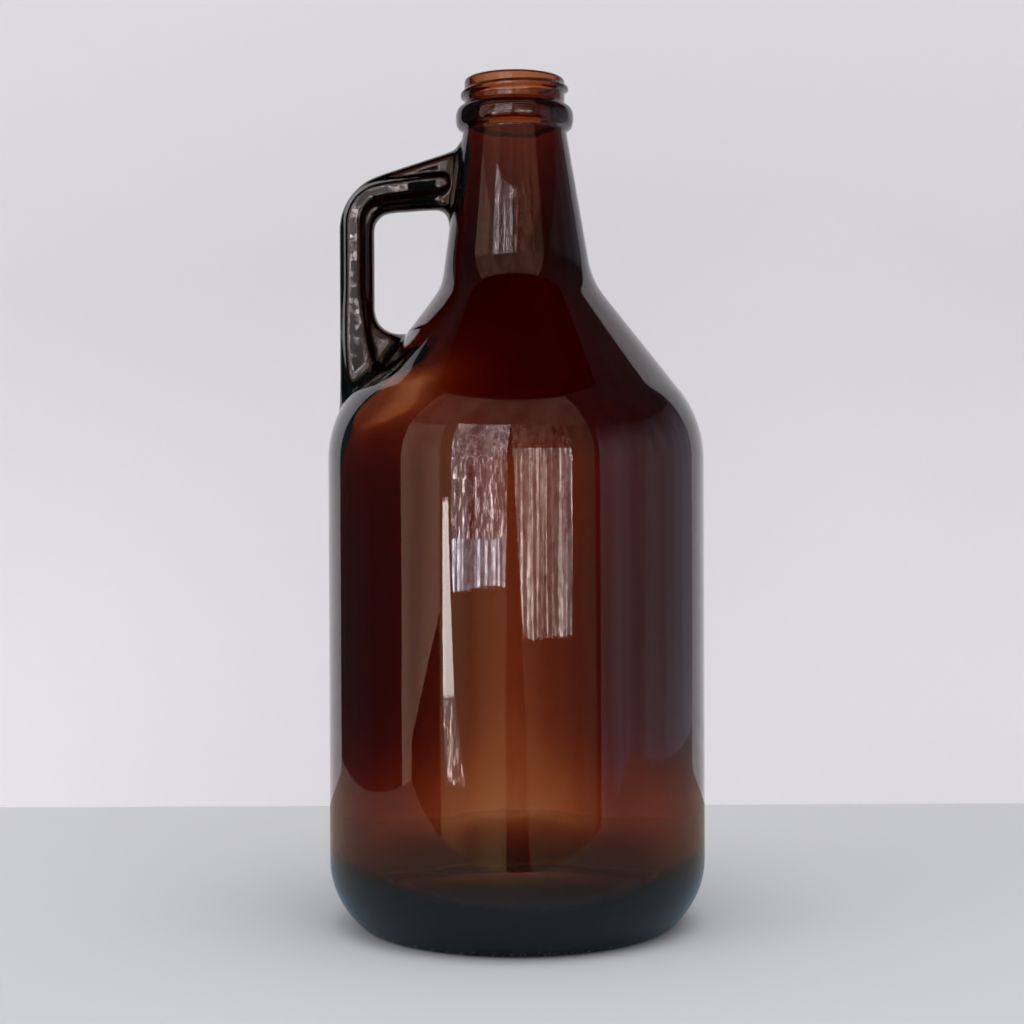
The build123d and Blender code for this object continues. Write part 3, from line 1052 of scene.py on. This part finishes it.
class GROWLER_OT_stage(bpy.types.Operator):
    """Set up the table, the backdrop, the lights and the camera"""

    bl_idname = "growler.stage"
    bl_label = "Stage"

    def execute(self, context):
        """Builds everything that isn't the jug."""
        scene = context.scene
        white = plain_paint("table_paper", (0.59, 0.60, 0.61), 0.75, 0.03)
        left, right = TABLE_SIDES
        near, far = TABLE_FRONT, FLOOR_REACH
        table = card("table", ((left, near, 0), (right, near, 0), (right, far, 0), (left, far, 0)), white)
        for name, low_x, high_x, low_y, high_y in (
            ("floor_front", -far, far, -far, near),
            ("floor_left", -far, left, near, far),
            ("floor_right", right, far, near, far),
        ):
            corners = ((low_x, low_y, 0), (high_x, low_y, 0), (high_x, high_y, 0), (low_x, high_y, 0))
            floor = card(name, corners, white)
            floor.visible_glossy = False
        # The backdrop's paint darkens upwards, a painted shade
        wall = plain_paint("backdrop_paper", (0.94, 0.915, 0.925), 0.9, 0.22, 0.9, False)
        y, side = BACKDROP_Y, BACKDROP_SIDE
        backdrop = card(
            "backdrop",
            ((-side, y, 0), (side, y, 0), (side, y, BACKDROP_HEIGHT), (-side, y, BACKDROP_HEIGHT)),
            wall,
        )
        table.visible_glossy = False
        # A darker copy of the table that only reflections see: painted shade in the jug's reflection of it
        shade = table_shade()
        z = SHINE_LIFT
        shine = card(
            "table_shine", ((left, near, z), (right, near, z), (right, far, z), (left, far, z)), shade
        )
        only_reflected(shine)
        reflected_room()
        world_light(scene)
        lamps(scene)
        camera(scene)
        scene.view_settings.view_transform = "Standard"
        return {"FINISHED"}


def round_card(name, radius, low_angles, high_angles, low, high, material):
    """A card curved about the jug, between two angles at its foot and two at its head.

    The angles are in degrees round from the front, towards +X.
    """
    count = 16
    vertices = []
    for angles, height in ((low_angles, low), (high_angles, high)):
        for i in range(count + 1):
            turn = radians(angles[0] + (angles[1] - angles[0]) * i / count)
            vertices.append((radius * sin(turn), -radius * cos(turn), height))
    faces = [(i + 1, i, count + 1 + i, count + 2 + i) for i in range(count)]
    mesh = bpy.data.meshes.new(name)
    mesh.from_pydata(vertices, [], faces)
    piece = placed_piece(name, mesh, material)
    only_reflected(piece)
    return piece


def reflected_room():
    """Staged panels that only reflections see: a warm room, two curtained windows, a grey wall."""
    glows = {
        "dim": glow("dim_room", (0.75, 0.92, 1.0), 0.055),
        "ceiling": glow("warm_ceiling", (1.0, 0.56, 0.40), 0.62),
        "strip": glow("warm_wall", (1.0, 0.64, 0.48), 1.25),
        "warm": glow("warm_cupboard", (1.0, 0.70, 0.38), 0.66),
        "door": glow("warm_door", (1.0, 0.76, 0.50), 0.30),
        "lace": glow("lace_curtain", (1.0, 0.86, 0.84), 3.3, "lace"),
        "shade": glow("window_shade", (1.0, 0.58, 0.42), 1.0, "lace"),
        "pleats": glow("pleated_curtain", (1.0, 0.84, 0.76), 5.4, "pleats"),
        "sky": glow("bright_pleats", (0.92, 0.92, 1.0), 8.0, "pleats"),
        "edge": glow("window_edge", (1.0, 0.90, 0.82), 11.0, "plain"),
        "edge_lace": glow("window_edge_lace", (1.0, 0.86, 0.74), 6.0, "lace"),
        "grey": glow("grey_wall", (0.80, 0.84, 1.0), 0.46, "fading"),
    }
    far, near, front = 1.6, 1.5, 1.4
    for name, place, low_angles, high_angles, low, high in (
        ("dim", 2.6, (-180, 180), (-180, 180), -1.0, 4.5),
        ("ceiling", far, (-71, 47), (-71, 47), 0.98, 2.65),
        ("strip", near, (-71, -45), (-71, -45), 0.02, 0.98),
        ("strip", near, (-71, -64), (-71, -45), -0.12, 0.02),
        ("strip", near, (-71, -66), (-71, -64), -0.5, -0.12),
        ("warm", near, (-45, -8.0), (-45, -5.0), -0.5, 0.19),
        ("warm", near, (-45, -36.5), (-45, -36.5), 0.19, 0.98),
        ("door", near, (12, 47), (-1.0, 47), -0.5, 0.19),
        ("door", near, (32, 47), (32, 47), 0.19, 0.98),
        ("lace", front, (-37.5, -5.6), (-37.5, -3.9), 0.10, 1.0),
        ("sky", front, (-36.5, -7.0), (-37.5, -5.6), 0.05, 0.10),
        ("shade", front, (-2.7, 33), (-2.7, 33), 0.36, 1.0),
        ("pleats", front, (-2.0, 33), (-2.7, 33), 0.19, 0.355),
        ("pleats", front, (4.0, 32), (-2.0, 33), 0.0, 0.19),
        ("edge", 1.38, (-43.0, -36.0), (-43.0, -39.5), -0.06, 0.14),
        ("edge_lace", 1.38, (-41.0, -30.0), (-43.0, -36.0), -0.15, -0.06),
        ("grey", near, (50, 137), (50, 137), -0.5, 0.9),
    ):
        round_card(name + "_card", place, low_angles, high_angles, low, high, glows[name])


def world_light(scene):
    """A pale room all round, left out of the reflections so that they come from the panels."""
    world = bpy.data.worlds.new("pale_room")
    scene.world = world
    world.use_nodes = True
    nodes = Nodes(world.node_tree)
    light = nodes.add("ShaderNodeBackground", {}, {"Color": (0.95, 0.95, 1.0, 1.0), "Strength": 0.82})
    nodes.add("ShaderNodeOutputWorld", {}, {"Surface": light})
    world.cycles_visibility.glossy = False


def lamps(scene):
    """A soft overhead light and a softer one from the left."""
    for name, place, turn, size, power in (
        ("overhead", (0.15, -0.5, 1.5), (radians(18), radians(6), 0), 1.2, 9.0),
        ("left_fill", (-1.4, -0.9, 0.9), (radians(60), 0, radians(-57)), 1.0, 5.0),
    ):
        light = bpy.data.lights.new(name, "AREA")
        light.shape = "SQUARE"
        light.size = size
        light.energy = power
        lamp = bpy.data.objects.new(name, light)
        lamp.location = place
        lamp.rotation_euler = turn
        lamp.visible_glossy = False
        lamp.visible_camera = False
        lamp.visible_transmission = False
        scene.collection.objects.link(lamp)


def camera(scene):
    """The camera, in front of the jug at half its height."""
    data = bpy.data.cameras.new("camera")
    data.sensor_width = CAMERA_SENSOR
    data.lens = CAMERA_LENS
    viewer = bpy.data.objects.new("camera", data)
    viewer.location = CAMERA_PLACE
    turn = Matrix.Rotation(CAMERA_YAW, 3, "Z") @ Matrix.Rotation(radians(90) + CAMERA_PITCH, 3, "X")
    turn = turn @ Matrix.Rotation(CAMERA_ROLL, 3, "Z")
    viewer.rotation_mode = "QUATERNION"
    viewer.rotation_quaternion = turn.to_quaternion()
    scene.collection.objects.link(viewer)
    scene.camera = viewer


class GROWLER_PT_parts(bpy.types.Panel):
    """Lists what the growler is made of"""

    bl_label = "Growler"
    bl_idname = "GROWLER_PT_parts"
    bl_space_type = "VIEW_3D"
    bl_region_type = "UI"
    bl_category = "Growler"

    def draw(self, context):
        """Shows the sizes and a button for each piece."""
        for group in (
            context.scene.growler_glass, context.scene.growler_look, context.scene.growler_ring
        ):
            box = self.layout.box()
            for name in group.bl_rna.properties.keys():
                if name not in ("rna_type", "name"):
                    box.prop(group, name)
        for operator in OPERATORS:
            self.layout.operator(operator.bl_idname)


OPERATORS = (GROWLER_OT_glass_jug, GROWLER_OT_ring_stipple, GROWLER_OT_stage)
CLASSES = (GlassSizes, GlassLook, RingSizes, *OPERATORS, GROWLER_PT_parts)


def register():
    """Registers the classes and hangs the sizes on the scene."""
    for made in CLASSES:
        bpy.utils.register_class(made)
    bpy.types.Scene.growler_glass = bpy.props.PointerProperty(type=GlassSizes)
    bpy.types.Scene.growler_look = bpy.props.PointerProperty(type=GlassLook)
    bpy.types.Scene.growler_ring = bpy.props.PointerProperty(type=RingSizes)


def unregister():
    """Takes the classes and the sizes away again."""
    del bpy.types.Scene.growler_ring
    del bpy.types.Scene.growler_look
    del bpy.types.Scene.growler_glass
    for made in reversed(CLASSES):
        bpy.utils.unregister_class(made)


def main():
    """Makes every piece and the stage."""
    register()
    bpy.ops.growler.glass_jug()
    bpy.ops.growler.ring_stipple()
    bpy.ops.growler.stage()


if __name__ == "__main__":
    main()
